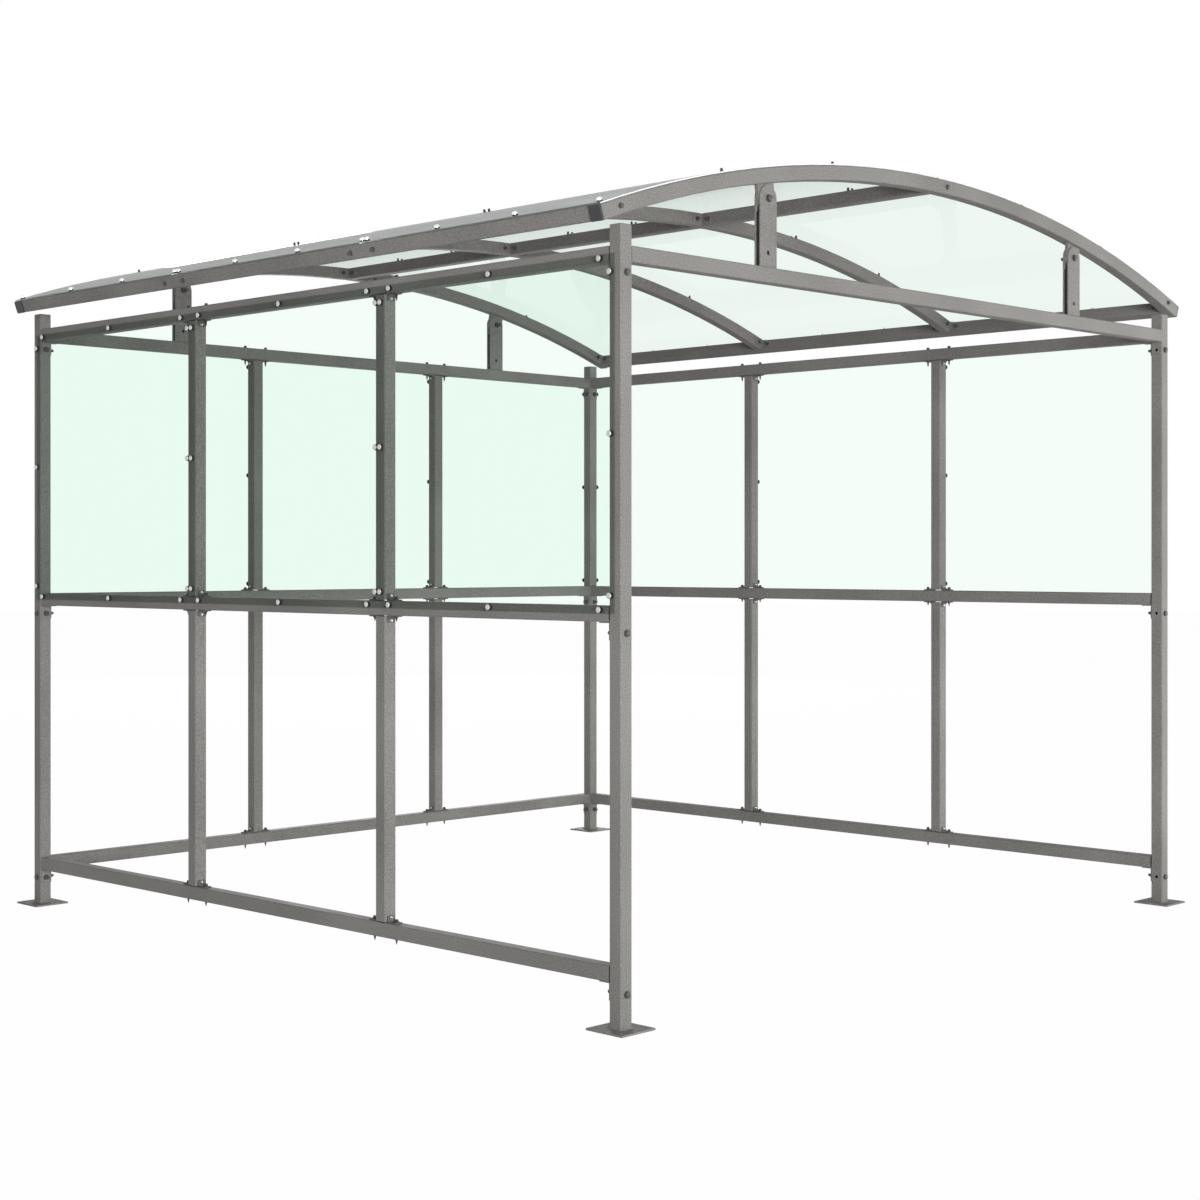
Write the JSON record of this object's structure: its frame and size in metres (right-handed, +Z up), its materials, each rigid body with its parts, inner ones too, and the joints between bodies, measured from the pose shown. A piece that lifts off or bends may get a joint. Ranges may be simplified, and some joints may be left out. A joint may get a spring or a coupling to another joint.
{
  "type": "smoking shelter",
  "caption": "Open-fronted smoking shelter of grey square steel tube with clear half-height wall sheets and an arched clear roof on bolted foot plates.",
  "frame": {"origin": "on the ground, under the middle of the shelter", "axes": "+X to the right along the open front, +Y from the open front to the back wall, +Z up"},
  "size_m": [3.17, 3.09, 2.5216],
  "materials": {
    "frame_steel": "satin",
    "clear_sheet": "gloss",
    "plug_plastic": "matte"
  },
  "bodies": {
    "root": {"front_left_post": "frame_steel", "front_right_post": "frame_steel", "back_left_post": "frame_steel", "back_right_post": "frame_steel", "post_caps": "frame_steel", "left_bottom_rail": "frame_steel", "left_mid_rail": "frame_steel", "left_top_rail": "frame_steel", "left_lower_uprights": "frame_steel", "left_upper_uprights": "frame_steel", "left_glazing": "clear_sheet", "left_rail_cleats": "frame_steel", "left_upright_brackets": "frame_steel", "right_bottom_rail": "frame_steel", "right_mid_rail": "frame_steel", "right_top_rail": "frame_steel", "right_lower_uprights": "frame_steel", "right_upper_uprights": "frame_steel", "right_glazing": "clear_sheet", "right_rail_cleats": "frame_steel", "right_upright_brackets": "frame_steel", "back_bottom_rail": "frame_steel", "back_mid_rail": "frame_steel", "back_top_rail": "frame_steel", "back_lower_uprights": "frame_steel", "back_upper_uprights": "frame_steel", "back_glazing": "clear_sheet", "back_rail_cleats": "frame_steel", "back_upright_brackets": "frame_steel", "front_beam": "frame_steel", "front_struts": "frame_steel", "back_struts": "frame_steel", "front_arch": "frame_steel", "front_mid_arch": "frame_steel", "back_mid_arch": "frame_steel", "back_arch": "frame_steel", "left_eave": "frame_steel", "right_eave": "frame_steel", "ridge_purlins": "frame_steel", "eave_cleats": "frame_steel", "purlin_cleats": "frame_steel", "front_roof_sheets": "clear_sheet", "middle_roof_sheets": "clear_sheet", "back_roof_sheets": "clear_sheet", "arch_end_plugs": "plug_plastic"}
  },
  "joints": []
}
